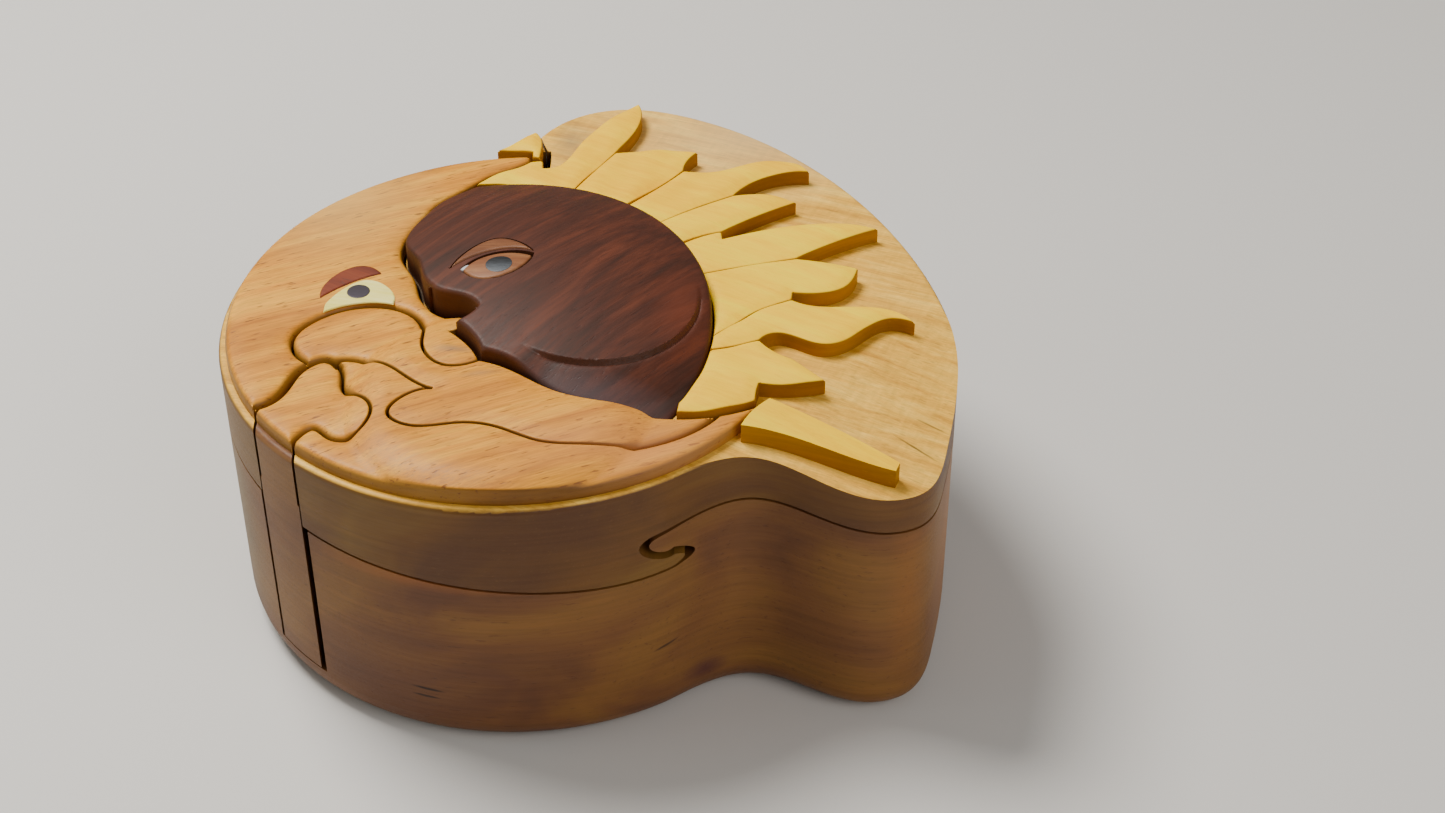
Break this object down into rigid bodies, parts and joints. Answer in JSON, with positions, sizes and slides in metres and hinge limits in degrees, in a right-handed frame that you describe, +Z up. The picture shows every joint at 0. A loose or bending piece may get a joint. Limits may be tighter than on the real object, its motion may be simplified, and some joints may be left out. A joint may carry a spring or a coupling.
{
  "type": "wooden puzzle box",
  "caption": "Saw-cut wooden puzzle box with a sun-and-moon inlaid lid; a key, a cheek and a forehead piece lift out and the lid slides off.",
  "frame": {"origin": "middle of the box's outline, on the surface it stands on", "axes": "+Z up; the picture's foot and the lid's way out are at -Y; the rays point to +X"},
  "size_m": [0.1318, 0.1269, 0.0635],
  "materials": {
    "wall_wood": "oiled, satin, brown side wood with darker mottling",
    "lid_wood": "oiled, satin, pale beige with fine rippled grain",
    "moon_wood": "satin lacquer, honey tan with fine diagonal pores",
    "sun_wood": "satin lacquer, dark red-brown with swirling grain",
    "ray_wood": "satin lacquer, golden yellow, very fine grain",
    "brow_wood": "satin lacquer, red rosewood",
    "eye_wood": "satin lacquer, orange-brown",
    "eye_white": "satin lacquer, pale yellow-white wood",
    "pupil": "satin lacquer, near black wood",
    "lining_felt": "short-pile felt, dark red"
  },
  "bodies": {
    "base": {"base_block": "wall_wood", "bottom_board": "wall_wood", "felt_lining": "lining_felt"},
    "lid": {"lid_block": "lid_wood", "moon_chin": "moon_wood", "sun_disk": "sun_wood", "sun_eyelid": "sun_wood", "sun_eye": "eye_wood", "sun_pupil": "pupil", "ray_front": "ray_wood", "ray_1": "ray_wood", "ray_2": "ray_wood", "ray_3": "ray_wood", "ray_4": "ray_wood", "ray_5": "ray_wood", "ray_6": "ray_wood", "ray_7": "ray_wood", "ray_8": "ray_wood"},
    "key": {"key_block": "wall_wood", "moon_mouth": "moon_wood"},
    "cheek": {"cheek_block": "lid_wood", "moon_cheek": "moon_wood"},
    "forehead": {"forehead_block": "wall_wood", "moon_forehead": "moon_wood", "ray_back": "ray_wood", "moon_brow": "brow_wood", "moon_eye_white": "eye_white", "moon_pupil": "pupil"}
  },
  "joints": [
    {"name": "lid_slide", "type": "slide", "parent": "base", "child": "lid", "axis": [0, -1, 0], "range_m": [0, 0.13]},
    {"name": "key_lift", "type": "slide", "parent": "lid", "child": "key", "axis": [0, 0, 1], "range_m": [0, 0.058]},
    {"name": "cheek_lift", "type": "slide", "parent": "lid", "child": "cheek", "axis": [0, 0, 1], "range_m": [0, 0.025]},
    {"name": "forehead_lift", "type": "slide", "parent": "lid", "child": "forehead", "axis": [0, 0, 1], "range_m": [0, 0.032]}
  ]
}
